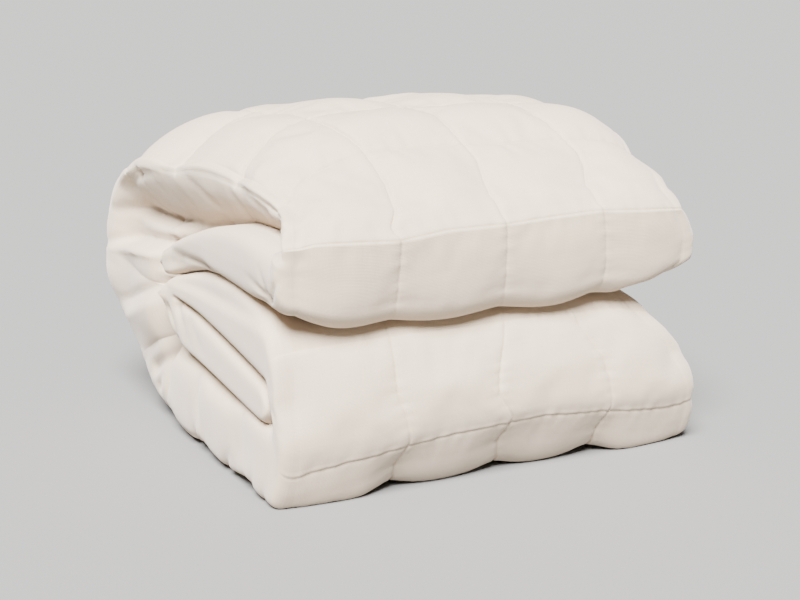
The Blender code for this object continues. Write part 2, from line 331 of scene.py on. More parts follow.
# Places on the grid
def stepped(stops, steps, beside):
    """Places from stop to stop in even steps, with close ones beside each stop where
    beside gives their distances."""
    places = [stops[0]]
    for low, high, step, near in zip(stops[:-1], stops[1:], steps, beside):
        margin = near[-1] if near else 0.0
        inner_low, inner_high = low + margin, high - margin
        count = max(1, round((inner_high - inner_low) / step))
        places.extend(low + np.array(near))
        places.extend(np.linspace(inner_low, inner_high, count + 1)[1:-1])
        places.extend(high - np.array(near))
        places.append(high)
    return np.unique(np.round(places, 6))


def strip_places(step, hidden_step, near):
    """Places along the strip, in rows of squares: close together where it shows."""
    stops = [SECTION["row"][0], -2.0, -1.3] + list(range(-1, 13)) + [13.0, SECTION["row"][-1]]
    steps, beside = [], []
    for low, high in zip(stops[:-1], stops[1:]):
        shown = low >= -1.0 and high <= 11.5
        steps.append((step if shown else hidden_step) / PITCH)
        beside.append([place / PITCH for place in near] if shown else [])
    return stepped(stops, steps, beside)


def ring_places(step, near, inner_count, band_count):
    """Places round the strip: outer face from left to right, right end, inner face,
    left end. Gives place across, share through the thickness and the ring's measure."""
    cell = CELL / HALF
    stops = [-1.0] + [cell * count for count in (-1, 0, 1)] + [1.0]
    beside = [place / HALF for place in near]
    outer = stepped(stops, [step / HALF] * 4, [beside] * 4)
    inner = np.linspace(1.0, -1.0, inner_count)
    angles = np.linspace(0.5 * math.pi, -0.5 * math.pi, band_count + 2)[1:-1]
    across = np.concatenate((outer, np.ones(band_count), inner, -np.ones(band_count)))
    through = np.concatenate((np.ones(len(outer)), np.sin(angles),
                              -np.ones(inner_count), np.sin(-angles)))
    left_end = 3.5 + np.linspace(-0.5, 0.5, band_count + 2)[1:-1]
    measure = np.concatenate((0.5 * (outer + 1.0), 1.5 - angles / math.pi,
                              2.5 - 0.5 * inner, left_end))
    return across, through, measure


def on_grid(places, ring):
    """Row of squares, place across, share through the thickness, and strength of the
    pillows, at every point of the grid."""
    row = places[:, None] + np.zeros(len(ring[0]))
    across, through = [np.zeros(row.shape) + values for values in ring[:2]]
    return row, across, through, at_rows("show", bent_rows(row, across))


def seam_sides(row, across, ends=False):
    """Signed distances in metres from the nearest seam across the strip and from the
    nearest one along it. Where ends is true the stitched edges count as seams too, and
    otherwise the outer half squares are a metre off."""
    cells = across * HALF / CELL
    column_side = (cells - np.round(cells)) * CELL
    if not ends:
        column_side = np.where(np.abs(cells) < 1.5, column_side, 1.0)
    return (row - np.round(row)) * PITCH, column_side


def bent_rows(row, across):
    """Where a place along the strip lies once the seams bend: the bend of the seams on
    either side, blended between them by a smooth step."""
    seams = np.arange(-4, 18)
    bends = np.zeros((len(seams), across.shape[-1]))
    for seam, values in ROW_BENDS.items():
        bends[seam + 4] = np.interp(across[0], BEND_PLACES, values)
    low = np.clip(np.floor(row[:, 0]).astype(int) + 4, 0, len(seams) - 2)
    part = row[:, 0] - np.floor(row[:, 0])
    part = part * part * (3.0 - 2.0 * part)
    return row + bends[low] * (1.0 - part[:, None]) + bends[low + 1] * part[:, None]


def bent_columns(row, across):
    """Where a place across lies once the seams along the strip bend: each seam's bend
    fades in a straight line to its neighbours."""
    seams = np.array((-1.0, -CELL / HALF, 0.0, CELL / HALF, 1.0))
    moved = across.copy()
    for index in range(3):
        bend = np.interp(row[:, :1], COLUMN_BENDS[:, 0], COLUMN_BENDS[:, index + 1])
        moved += bend * np.interp(across, seams, np.eye(5)[index + 1])
    return moved


def evened(row, table, column):
    """A table's value at each row, its corners rounded over a tenth of a row."""
    fine = np.arange(table[0, 0], table[-1, 0], 0.01)
    kernel = np.hanning(11)
    values = np.pad(np.interp(fine, table[:, 0], table[:, column]), 5, "edge")
    return np.interp(row, fine, np.convolve(values, kernel / kernel.sum(), "valid"))


def at_rows(name, rows):
    """One of the section's values at rows of squares."""
    values = SECTION[name]
    if values.ndim == 1:
        return np.interp(rows, SECTION["row"], values)
    return np.stack([np.interp(rows, SECTION["row"], axis) for axis in values.T], axis=-1)


def drawn_in(across, depth, height):
    """How far a fold's nearer end is drawn in, at a place in the section."""
    left = np.interp(height, LEANS[:, 0], LEANS[:, 1])
    right = np.interp(height, LEANS[:, 0], LEANS[:, 2])
    behind = smooth_step(depth, *LEAN_FADE)
    bulge = BACK_BULGE * smooth_step(height, *BACK_RISE) - BACK_IN
    return np.where(across < 0.0, left, right) * (1.0 - behind) - bulge * behind


def folded_strip(places, ring, puffed):
    """The strip's surface. A point is the middle line plus the half thickness times the
    sine through the padded end; pillows and crown lift the outer face along its own
    direction; a padded end bulges as a squarish half circle. puffed scales the pillows."""
    row, across, through, show = on_grid(places, ring)
    bent = bent_rows(row, across)
    middle, half, thin = [at_rows(name, bent) for name in ("middle", "half", "thin")]
    outward = half / np.linalg.norm(half, axis=-1)[..., None]

    # the layer thins towards its stitched edge, less on the floor and not inside the stack
    showing = 0.5 + 0.5 * through
    floored = smooth_step(row, 9.0, 9.3) * (1.0 - smooth_step(row, 9.8, 10.1))
    pressed = 1.0 - smooth_step(row, -1.5, -1.0) + smooth_step(row, 10.5, 11.0)
    thinner = END_THIN * (1.0 - 0.7 * floored) * (1.0 - pressed)
    thin = thin * (1.0 - thinner * across**8 * showing)

    # pillows, tucks, crown and the front folds' rounded ends
    cells = across * HALF / CELL
    pillow = ridge(row) * ridge(cells) - PILLOW_BASE
    lift = puffed * show * np.interp(row, ALONG[:, 0], ALONG[:, 1]) * pillow
    for place, width, tuck, more in TUCKS:
        under = np.exp(-((row - place) / width)**4) * smooth_step(across, -1.0, -0.6)
        lift -= under * (tuck + more * (1.0 - ridge(cells, 1.3)))
    droop = np.where(across < 0.0, 1.0, 1.0 - CROWN_RIGHT)
    crown = CROWN * smooth_step(bent, 0.0, 1.4) * (1.0 - smooth_step(bent, 3.0, 5.0))
    lift += crown * (1.0 - droop * np.abs(across) ** np.where(across < 0.0, 4, 6))
    lift -= evened(row, FRONT_ROUND, 1) * np.abs(across) ** 7

    # the front folds' own profile, weaker towards the ends
    front_z = evened(row, FRONT, 2) * (1.0 - 0.8 * (across < 0.0) * across**6)
    front_z = front_z * (1.0 - 0.4 * smooth_step(across, 0.3, 1.0) * (row < 5.0))
    outermost = smooth_step(np.abs(cells), 0.95, 1.3)
    front_y = evened(row, FRONT, 1) + outermost * evened(row, FRONT_OUTER, 1)
    front_z = front_z + outermost * evened(row, FRONT_OUTER, 2)
    section = middle + half * (through * thin)[..., None]
    section += outward * (lift * showing)[..., None]
    section += np.stack((front_y, front_z), axis=-1) * showing[..., None]

    # the padded end: pinched at the seams, squarer on the floor and inside the stack
    pinch = np.where(across < 0.0, np.interp(row, PINCHES[:, 0], PINCHES[:, 1]),
                     np.interp(row, PINCHES[:, 0], PINCHES[:, 2]))
    pinch = pinch * show * (1.0 - ridge(row, 0.9))
    square = 3.0 + 4.0 * smooth_step(row, 6.8, 8.6) * (1.0 - smooth_step(row, 9.6, 10.2))
    square += 2.5 * (1.0 - smooth_step(row, -1.3, -0.7)) + 2.5 * smooth_step(row, 10.3, 10.8)
    bulge = END_ROUND * (1.0 - pinch) * np.sqrt(1.0 - np.abs(through)**square)
    reach = HALF + np.where(np.abs(across) == 1.0, bulge, 0.0)
    reach -= drawn_in(across, section[..., 0], section[..., 1]) * across**2
    side = bent_columns(row, across) * reach
    return np.stack((side, section[..., 0] - MIDDLE_Y, section[..., 1]), axis=-1)


def grid_faces(rows, columns):
    """Quads of a closed tube on a grid, outward, and a many-sided cap at either tip."""
    start = np.arange(rows - 1)[:, None] * columns
    here = np.arange(columns)
    after = (here + 1) % columns
    quads = np.stack((start + here, start + after, start + columns + after,
                      start + columns + here), axis=-1).reshape(-1, 4)
    caps = [list(range(columns - 1, -1, -1)),
            list(range((rows - 1) * columns, rows * columns))]
    return quads.tolist() + caps


def mesh_from(name, points, faces):
    mesh = bpy.data.meshes.new(name)
    mesh.from_pydata(points.reshape(-1, 3).tolist(), [], faces)
    mesh.shade_smooth()
    mesh.update()
    return mesh


def points_of(mesh):
    points = np.empty(3 * len(mesh.vertices))
    mesh.vertices.foreach_get("co", points)
    return points.reshape(-1, 3)


def normals_of(points):
    """Outward directions of a grid surface: the cross product of its two slopes."""
    along = np.gradient(points, axis=0)
    closed = np.concatenate((points[:, -1:], points, points[:, :1]), axis=1)
    around = 0.5 * (closed[:, 2:] - closed[:, :-2])
    normal = np.cross(around, along)
    size = np.linalg.norm(normal, axis=-1, keepdims=True)
    return normal / np.maximum(size, 1e-12)


# Swelling the squares
def swollen(points, faces, held, settings):
    """How far air pressure moves each point of the cloth between its held seams: the
    movement's size is bent down to a cap by a hyperbolic tangent."""
    mesh = mesh_from("swelling_cloth", points, faces)
    cloth_object = bpy.data.objects.new("swelling_cloth", mesh)
    scene = bpy.context.scene
    scene.collection.objects.link(cloth_object)
    group = cloth_object.vertex_groups.new(name="held")
    for weight in np.unique(held[held > 0.0]):
        group.add(np.flatnonzero(held == weight).tolist(), float(weight), "REPLACE")
    modifier = cloth_object.modifiers.new("filling", "CLOTH")
    cloth = modifier.settings
    cloth.quality = 4
    cloth.mass = 0.3
    cloth.tension_stiffness = 20.0
    cloth.compression_stiffness = 20.0
    cloth.shear_stiffness = 10.0
    cloth.bending_stiffness = settings.cloth_bending
    cloth.tension_damping = 12.0
    cloth.compression_damping = 12.0
    cloth.air_damping = 3.0
    cloth.use_pressure = True
    cloth.uniform_pressure_force = settings.cloth_pressure
    cloth.vertex_group_mass = "held"
    cloth.shrink_min = -settings.cloth_slack
    cloth.effector_weights.gravity = 0.0
    modifier.collision_settings.use_collision = False
    modifier.collision_settings.use_self_collision = False
    modifier.point_cache.frame_start = 1
    modifier.point_cache.frame_end = settings.cloth_frames
    for count in range(1, settings.cloth_frames + 1):
        scene.frame_set(count)
    shaped = cloth_object.evaluated_get(bpy.context.evaluated_depsgraph_get())
    result = points_of(shaped.data).reshape(points.shape)
    scene.frame_set(1)
    bpy.data.objects.remove(cloth_object)
    bpy.data.meshes.remove(mesh)
    moved = result - points
    size = np.linalg.norm(moved, axis=-1, keepdims=True)
    cap = settings.cloth_cap
    return moved * cap * np.tanh(size / cap) / np.maximum(size, 1e-9)


def spline_weights(fine, coarse, closed):
    """Matrix that carries values from coarse places to fine ones by cubic splines: each
    fine place takes four coarse neighbours."""
    count = len(coarse)
    if closed:
        at = np.interp(fine, np.append(coarse, coarse[0] + 4.0), np.arange(count + 1.0))
    else:
        at = np.interp(fine, coarse, np.arange(float(count)))
    low = np.floor(at).astype(int)
    part = at - low
    shares = ((1.0 - part)**3 / 6.0,
              (3.0 * part**3 - 6.0 * part**2 + 4.0) / 6.0,
              (-3.0 * part**3 + 3.0 * part**2 + 3.0 * part + 1.0) / 6.0,
              part**3 / 6.0)
    weights = np.zeros((len(fine), count))
    lines = np.arange(len(fine))
    for offset, share in zip((-1, 0, 1, 2), shares):
        column = low + offset
        column = column % count if closed else np.clip(column, 0, count - 1)
        np.add.at(weights, (lines, column), share)
    return weights


# Creases in the left end, as the layers are pressed and gathered there. Each is a line
# of points on the end, in the section's own Y and Z, with its half width and its depth at
# the first and the last point; a depth below nought is a raised fold.
Crease = namedtuple("Crease", "half_width first_depth last_depth points")
END_CREASES = (
    # down from the outer top fold's hem
    Crease(0.0050, 0.0006, 0.0022, ((0.205, 0.240), (0.171, 0.217))),
    Crease(0.0060, 0.0006, 0.0030, ((0.141, 0.248), (0.100, 0.238), (0.061, 0.226))),
    Crease(0.0045, 0.0006, 0.0024, ((0.101, 0.249), (0.041, 0.229))),
    Crease(0.0045, 0.0006, 0.0020, ((0.070, 0.249), (0.030, 0.238), (0.004, 0.220))),
    # the curl where that hem runs into the back turn
    Crease(0.0050, 0.0010, 0.0050, ((0.248, 0.234), (0.262, 0.233), (0.290, 0.228))),
    Crease(0.0050, 0.0050, 0.0030, ((0.290, 0.228), (0.320, 0.216), (0.340, 0.206))),
    # the line under the outer top fold, on to the back
    Crease(0.0040, 0.0010, 0.0030, ((0.367, 0.190), (0.324, 0.189), (0.271, 0.188))),
    Crease(0.0050, 0.0030, 0.0040, ((0.271, 0.188), (0.220, 0.190), (0.174, 0.198))),
    # the back turn's seams
    Crease(0.0036, 0.0015, 0.0030, ((0.395, 0.147), (0.309, 0.165), (0.247, 0.169))),
    Crease(0.0060, 0.0030, 0.0060, ((0.262, 0.168), (0.240, 0.150))),
    Crease(0.0030, 0.0008, 0.0030, ((0.378, 0.091), (0.326, 0.108), (0.255, 0.132))),
    # pinches along the lower left edge
    Crease(0.0065, 0.0060, 0.0030, ((0.292, 0.046), (0.215, 0.085))),
    Crease(0.0050, 0.0040, 0.0005, ((0.285, 0.030), (0.262, 0.052))),
    Crease(0.0035, 0.0030, 0.0003, ((0.191, 0.006), (0.178, 0.026))),
    Crease(0.0040, 0.0040, 0.0003, ((0.116, 0.004), (0.098, 0.026))),
    Crease(0.0035, 0.0030, 0.0003, ((0.065, 0.003), (0.050, 0.020))),
    Crease(0.0035, 0.0020, 0.0003, ((0.035, 0.003), (0.026, 0.018))),
    # gathers at the rear of the inner layers, and the small bow there
    Crease(0.0040, 0.0045, 0.0030, ((0.236, 0.124), (0.226, 0.098))),
    Crease(0.0040, 0.0050, 0.0025, ((0.222, 0.118), (0.210, 0.090))),
    Crease(0.0042, 0.0040, 0.0015, ((0.206, 0.122), (0.186, 0.094))),
    Crease(0.0040, 0.0025, 0.0010, ((0.182, 0.116), (0.158, 0.092))),
    Crease(0.0038, -0.0060, -0.0040, ((0.254, 0.141), (0.238, 0.132))),
    Crease(0.0038, -0.0040, -0.0060, ((0.240, 0.143), (0.225, 0.130))),
    Crease(0.0020, 0.0025, 0.0025, ((0.221, 0.170), (0.217, 0.152))),
    Crease(0.0020, 0.0025, 0.0025, ((0.211, 0.169), (0.209, 0.152))),
    Crease(0.0022, 0.0020, 0.0020, ((0.201, 0.168), (0.200, 0.154))),
    # under the inner top fold at its rear, and the recess below it
    Crease(0.0030, 0.0020, 0.0035, ((0.228, 0.172), (0.182, 0.169), (0.154, 0.169))),
    Crease(0.0030, 0.0035, 0.0005, ((0.154, 0.169), (0.110, 0.163))),
    Crease(0.0080, 0.0035, 0.0020, ((0.218, 0.160), (0.160, 0.164))),
    # star of creases at the front of the inner top fold
    Crease(0.0028, 0.0008, 0.0035, ((0.050, 0.178), (0.018, 0.169))),
    Crease(0.0024, 0.0008, 0.0030, ((0.030, 0.190), (0.016, 0.168))),
    Crease(0.0024, 0.0008, 0.0030, ((-0.004, 0.188), (0.012, 0.168))),
    Crease(0.0028, 0.0008, 0.0030, ((0.042, 0.162), (0.018, 0.166))),
)


def off_line(points, line):
    """Least distance of points from a line through several places, and the share of the
    line's length at which the nearest place lies."""
    line = np.asarray(line)
    steps = np.linalg.norm(np.diff(line, axis=0), axis=1)
    starts = np.concatenate(([0.0], np.cumsum(steps)))
    least = np.full(points.shape[:-1], np.inf)
    share = np.zeros(points.shape[:-1])
    for index, step in enumerate(steps):
        way = (line[index + 1] - line[index]) / step
        along = np.clip((points - line[index]) @ way, 0.0, step)
        away = np.linalg.norm(points - line[index] - along[..., None] * way, axis=-1)
        closer = away < least
        least = np.where(closer, away, least)
        share = np.where(closer, (starts[index] + along) / starts[-1], share)
    return least, share


def creased_end(points, row, across):
    """How far the left end is moved in: by slopes, each deepening evenly from its upper
    edge to its lower one and on the back turn ending there, and by creases, each a
    bell-shaped valley whose depth changes evenly from its first point to its last."""
    flat = points[..., 1:] + np.array((MIDDLE_Y, 0.0))
    depth_y, height = flat[..., 0], flat[..., 1]
    on_turn = smooth_step(depth_y, 0.225, 0.270)
    slopes = np.zeros(row.shape)
    for slope in END_SLOPES:
        upper, lower = [np.interp(depth_y, slope.edges[:, 0], slope.edges[:, axis])
                        for axis in (1, 2)]
        part = np.clip((upper - height) / (upper - lower), 0.0, 1.0)
        above = smooth_step(height - lower, -slope.comes_out, 0.0)
        start, stop = slope.edges[0, 0], slope.edges[-1, 0]
        ends = smooth_step(depth_y, start, start + SLOPE_FADE)
        ends *= smooth_step(-depth_y, -stop, SLOPE_FADE - stop)
        ends *= (row > slope.first_row) * (row < slope.last_row)
        within = slope.upper_depth * smooth_step(upper - height, -0.002, 0.008)
        within += (slope.lower_depth - slope.upper_depth) * part
        slopes += within * ends * (1.0 - on_turn * (1.0 - above))
    creases = np.zeros(row.shape)
    for crease in END_CREASES:
        away, share = off_line(flat, crease.points)
        depth = crease.first_depth + share * (crease.last_depth - crease.first_depth)
        creases += depth * np.exp(-(away / crease.half_width)**2)
    slopes *= smooth_step(-points[..., 0], 0.120, 0.186) * (across < 0.0)
    return slopes + creases * smooth_step(-points[..., 0], 0.160, 0.184) * (across < 0.0)


def relief(row, across, through, show, settings):
    """Height of the stitched seams over the swollen cloth: a bell-shaped valley along
    each seam with a soft lip on either side, one more lip below the two front seams, and
    along the hem a valley with a roll above it."""
    width, depth = settings.seam_width, settings.seam_depth
    row_side, column_side = seam_sides(row, across)
    front = (np.round(row) == 0) | (np.round(row) == ROWS_ROUND)
    lower = np.where(np.round(row) == 0, -1.0, 1.0)
    face = smooth_step(through, 0.6, 0.95)
    strengths = (np.where(front, FRONT_SEAM, ROW_SEAM),
                 np.interp(row, ALONG[:, 0], ALONG[:, 2]))
    total = np.zeros(row.shape)
    for side, strength in zip((row_side, column_side), strengths):
        valley = -depth * np.exp(-(side / width)**2)
        lip = 0.35 * depth * np.exp(-((np.abs(side) - 2.2 * width) / width)**2)
        total += strength * (valley + lip) * show * face
    lip_side = row_side * lower - 1.2 * width
    total += 0.30 * depth * np.exp(-(lip_side / (0.8 * width))**2) * front * show * face
    below, hemmed = hem_places(row, across, through)
    hem = np.exp(-(below / 0.0016)**2) - 0.6 * np.exp(-((below + 0.0030) / 0.0018)**2)
    return total - HEM_DEPTH * hem * show * hemmed


def hem_places(row, across, through):
    """How far a place lies below the hem seam, in metres, and the share of the hem that
    is there: it runs along the padded ends of the outer top fold and the back turn."""
    half = np.linalg.norm(at_rows("half", bent_rows(row, across)), axis=-1)
    hemmed = smooth_step(row, 0.2, 0.6) * (1.0 - smooth_step(row, 7.5, 8.5))
    return half * (1.0 - through) - HEM_BELOW, hemmed * (np.abs(across) == 1.0)


def ripples(row, across, through, show, settings):
    """Small gathers that cross the seams: waves along each seam, with random lengths
    and heights, dying out within a thumb's width of it."""
    random = np.random.default_rng(11)
    row_side, column_side = seam_sides(row, across, ends=True)
    total = np.zeros(row.shape)
    for side, along in ((row_side, across * HALF), (column_side, row * PITCH)):
        away = np.abs(side)
        wave = np.zeros(row.shape)
        for _ in range(WAVES):
            length = random.uniform(0.009, 0.026)
            phase = random.uniform(0.0, 2.0 * math.pi)
            slant = random.uniform(-0.5, 0.5)
            reach = random.uniform(0.006, 0.016)
            turn = 2.0 * math.pi * (along + slant * away) / length + phase
            wave += np.sin(turn) * np.exp(-(away / reach)**1.5)
        total += wave / WAVES
    return settings.gather * total * show * smooth_step(through, -0.2, 0.6)


def lumps(points, settings):
    """Slow unevenness of the filling: a sum of plane waves in all directions."""
    random = np.random.default_rng(5)
    count, longest = 2 * WAVES, 0.11
    total = np.zeros(points.shape[:-1])
    for _ in range(count):
        way = random.normal(size=3)
        way /= np.linalg.norm(way)
        length = random.uniform(0.035, longest)
        turn = 2.0 * math.pi * (points @ way) / length + random.uniform(0.0, 2.0 * math.pi)
        total += np.sin(turn) * (length / longest)
    return settings.unevenness * total / count


def cover_points(settings):
    """The whole padded surface, with its places on the strip: base shape, swelling, then
    seams, gathers and creases along the surface's own outward direction."""
    places = strip_places(settings.grid_step, HIDDEN_STEP, NEAR_SEAM)
    ring = ring_places(settings.grid_step, NEAR_SEAM, inner_count=17, band_count=28)
    points = folded_strip(places, ring, PUFF_BEFORE)
    points += simulated_swelling(places, ring, settings)
    row, across, through, show = on_grid(places, ring)
    normal = normals_of(points)
    raised = relief(row, across, through, show, settings)
    raised += ripples(row, across, through, show, settings)
    raised += lumps(points, settings) * (0.3 + 0.7 * show)
    points = points + normal * raised[..., None]
    points[..., 0] += creased_end(points, row, across)
    points[..., 2] = np.maximum(points[..., 2], 0.0)
    return points, row, ring


def simulated_swelling(places, ring, settings):
    """Displacement by cloth simulation on a coarser copy of the grid, carried over to
    the fine one. Seams, the inner face, hidden stretches and what lies on the floor are
    held."""
    coarse_places = strip_places(COARSE_STEP, COARSE_HIDDEN_STEP, ())
    coarse_ring = ring_places(COARSE_STEP, (), inner_count=9, band_count=6)
    points = folded_strip(coarse_places, coarse_ring, PUFF_BEFORE)
    row, across, through, show = on_grid(coarse_places, coarse_ring)
    on_row, on_column = [np.abs(side) < SEAM_HELD for side in seam_sides(row, across)]
    band = np.abs(through) < 0.99
    held = np.zeros(row.shape)
    held[(on_row | on_column) & (through > 0.99)] = 1.0
    held[through < -0.99] = 1.0
    held[show < 0.4] = 1.0
    held[on_row & band] = END_HOLD
    held[band & (through > 0.6) & (through < 0.9)] = HEM_HOLD
    held[points[..., 2] <= 0.0005] = 1.0
    moved = swollen(points, grid_faces(*row.shape), held.ravel(), settings)
    rows_from = spline_weights(places, coarse_places, closed=False)
    ring_from = spline_weights(ring[2], coarse_ring[2], closed=True)
    kept = np.interp(places, ALONG[:, 0], ALONG[:, 3])[:, None, None]
    return kept * np.einsum("ac,cdk,bd->abk", rows_from, moved, ring_from, optimize=True)


# Finishes
def node(tree, kind, **values):
    """A node with some of its sockets and settings given by name."""
    made = tree.nodes.new(kind)
    for name, value in values.items():
        if hasattr(made, name):
            setattr(made, name, value)
        else:
            made.inputs[name.replace("_", " ")].default_value = value
    return made


def maths(tree, operation, *inputs, clamp=False):
    """Result of a Math node whose inputs are numbers or other nodes' sockets."""
    made = node(tree, "ShaderNodeMath", operation=operation, use_clamp=clamp)
    for socket, value in zip(made.inputs, inputs):
        if isinstance(value, (int, float)):
            socket.default_value = value
        else:
            tree.links.new(value, socket)
    return made.outputs[0]


def tinted(tree, colour, tint, share):
    """A colour multiplied by a tint, as far as the share says."""
    mix = node(tree, "ShaderNodeMix", data_type="RGBA", blend_type="MULTIPLY")
    mix.inputs[7].default_value = (*tint, 1.0)
    tree.links.new(share, mix.inputs[0])
    tree.links.new(colour, mix.inputs[6])
    return mix.outputs[2]


def plain_weave_group():
    """Plain weave: warp and weft threads, each a rounded wave over and under the other,
    with its thickness varied by noise. Puts out its height and its shade."""
    tree = bpy.data.node_groups.new("plain weave", "ShaderNodeTree")
    face = tree.interface
    face.new_socket("Cloth", in_out="INPUT", socket_type="NodeSocketVector")
    threads = face.new_socket("Threads per Metre", in_out="INPUT",
                              socket_type="NodeSocketFloat")
    threads.default_value = 1000.0
    face.new_socket("Height", in_out="OUTPUT", socket_type="NodeSocketFloat")
    face.new_socket("Shade", in_out="OUTPUT", socket_type="NodeSocketFloat")
    start = tree.nodes.new("NodeGroupInput")
    end = tree.nodes.new("NodeGroupOutput")

    wobble = node(tree, "ShaderNodeTexNoise", Scale=90.0, Detail=2.0)
    tree.links.new(start.outputs["Cloth"], wobble.inputs["Vector"])
    shift = node(tree, "ShaderNodeVectorMath", operation="MULTIPLY_ADD")
    tree.links.new(wobble.outputs["Color"], shift.inputs[0])
    shift.inputs[1].default_value = (0.0007, 0.0007, 0.0)
    tree.links.new(start.outputs["Cloth"], shift.inputs[2])
    split = node(tree, "ShaderNodeSeparateXYZ")
    tree.links.new(shift.outputs[0], split.inputs[0])
    across = maths(tree, "MULTIPLY", split.outputs["X"], start.outputs["Threads per Metre"])
    along = maths(tree, "MULTIPLY", split.outputs["Y"], start.outputs["Threads per Metre"])
    half_across = maths(tree, "MULTIPLY", across, math.pi)
    half_along = maths(tree, "MULTIPLY", along, math.pi)
    warp = maths(tree, "ABSOLUTE", maths(tree, "SINE", half_across))
    weft = maths(tree, "ABSOLUTE", maths(tree, "SINE", half_along))
    over = maths(tree, "MULTIPLY", maths(tree, "COSINE", half_across),
                 maths(tree, "COSINE", half_along))
    lift = maths(tree, "MULTIPLY_ADD", over, 0.5, 0.5)
    warp_part = maths(tree, "MULTIPLY", warp, lift)
    weft_part = maths(tree, "MULTIPLY", weft, maths(tree, "SUBTRACT", 1.0, lift))
    height = maths(tree, "ADD", warp_part, weft_part)

    streaks = []
    for scale in ((1400.0, 26.0, 1.0), (26.0, 1400.0, 1.0)):
        mapping = node(tree, "ShaderNodeMapping", vector_type="POINT", Scale=scale)
        tree.links.new(start.outputs["Cloth"], mapping.inputs["Vector"])
        slub = node(tree, "ShaderNodeTexNoise", Scale=1.0, Detail=3.0, Roughness=0.6)
        tree.links.new(mapping.outputs[0], slub.inputs["Vector"])
        streaks.append(slub.outputs[0])
    uneven = maths(tree, "MULTIPLY", maths(tree, "ADD", *streaks), 0.5)
    tree.links.new(maths(tree, "MULTIPLY_ADD", uneven, 0.9, height), end.inputs["Height"])
    dips = maths(tree, "MULTIPLY_ADD", height, 0.35, uneven)
    tree.links.new(dips, end.inputs["Shade"])
    return tree


def cover_material(colours):
    """Matt off-white plain weave. Colour varies a little from thread to thread and over a
    hand's width, and the gaps between the threads are painted shade; seams and the hem are
    darkened by an attribute, a painted shade; fine weave lies in the bump."""
    material = bpy.data.materials.new("off-white woven cover")
    material.use_nodes = True
    tree = material.node_tree
    shader = tree.nodes["Principled BSDF"]
    coordinates = node(tree, "ShaderNodeUVMap", uv_map="cloth")
    place = node(tree, "ShaderNodeTexCoord")
    weave = node(tree, "ShaderNodeGroup")
    weave.node_tree = bpy.data.node_groups.get("plain weave") or plain_weave_group()
    weave.inputs["Threads per Metre"].default_value = colours.threads
    tree.links.new(coordinates.outputs[0], weave.inputs["Cloth"])

    patches = node(tree, "ShaderNodeTexNoise", Scale=9.0, Detail=3.0)
    tree.links.new(place.outputs["Object"], patches.inputs["Vector"])
    seam = node(tree, "ShaderNodeAttribute", attribute_name="seam")

    # painted shade: the gaps between the threads, low on the weave's height, take the darker
    # shade colour; the slub noise in the same value is the threads' own uneven tone
    threads = node(tree, "ShaderNodeMix", data_type="RGBA")
    threads.inputs[6].default_value = (*colours.shade, 1.0)
    threads.inputs[7].default_value = (*colours.cover, 1.0)
    tone = maths(tree, "MULTIPLY_ADD", weave.outputs["Shade"], 1.1, -0.12, clamp=True)
    tree.links.new(tone, threads.inputs[0])
    faded = tinted(tree, threads.outputs[2], (0.965, 0.955, 0.94),
                   maths(tree, "MULTIPLY", patches.outputs[0], 0.8))
    # painted shade along the seams and the hem, set by the seam attribute
    seam_shaded = tinted(tree, faded, colours.seam, seam.outputs["Fac"])
    tree.links.new(seam_shaded, shader.inputs["Base Color"])

    bump = node(tree, "ShaderNodeBump", Strength=0.35, Distance=0.00035)
    tree.links.new(weave.outputs["Height"], bump.inputs["Height"])
    tree.links.new(bump.outputs[0], shader.inputs["Normal"])
    rough = maths(tree, "MULTIPLY_ADD", weave.outputs["Height"], -0.06, 0.93)
    tree.links.new(rough, shader.inputs["Roughness"])
    shader.inputs["Sheen Weight"].default_value = 0.25
    shader.inputs["Sheen Roughness"].default_value = 0.5
    shader.inputs["Specular IOR Level"].default_value = 0.25
    return material


def floor_material(colour):
    material = bpy.data.materials.new("pale studio floor")
    material.use_nodes = True
    tree = material.node_tree
    shader = tree.nodes["Principled BSDF"]
    shader.inputs["Base Color"].default_value = (*colour, 1.0)
    shader.inputs["Roughness"].default_value = 0.9
    return material


# Settings
class BlanketSizes(bpy.types.PropertyGroup):
    """Sizes of the filled cover."""
    grid_step: FloatProperty(
        name="Grid step", description="Distance between points where the cover shows",
        default=0.0034, min=0.001, unit="LENGTH")
    seam_depth: FloatProperty(
        name="Seam depth", description="Depth of the valley along a stitched seam",
        default=0.0013, min=0.0, unit="LENGTH")
    seam_width: FloatProperty(
        name="Seam width", description="Half width of that valley",
        default=0.0013, min=0.0005, unit="LENGTH")
    gather: FloatProperty(
        name="Gathers", description="Height of the small gathers across the seams",
        default=0.0011, min=0.0, unit="LENGTH")
    unevenness: FloatProperty(
        name="Unevenness", description="Height of the filling's slow lumps",
        default=0.0035, min=0.0, unit="LENGTH")
    cloth_pressure: FloatProperty(
        name="Filling pressure", description="Pressure that swells the squares", default=3.0)
    cloth_bending: FloatProperty(
        name="Bending stiffness", description="How stiffly the cover bends", default=0.6)
    cloth_slack: FloatProperty(
        name="Slack", description="Spare length of the cover between its seams",
        default=0.02, min=0.0, max=0.2, subtype="FACTOR")
    cloth_cap: FloatProperty(
        name="Most swelling", description="Farthest that a point may move",
        default=0.008, min=0.0, unit="LENGTH")
    cloth_frames: IntProperty(
        name="Frames", description="Frames of simulation", default=20, min=2)


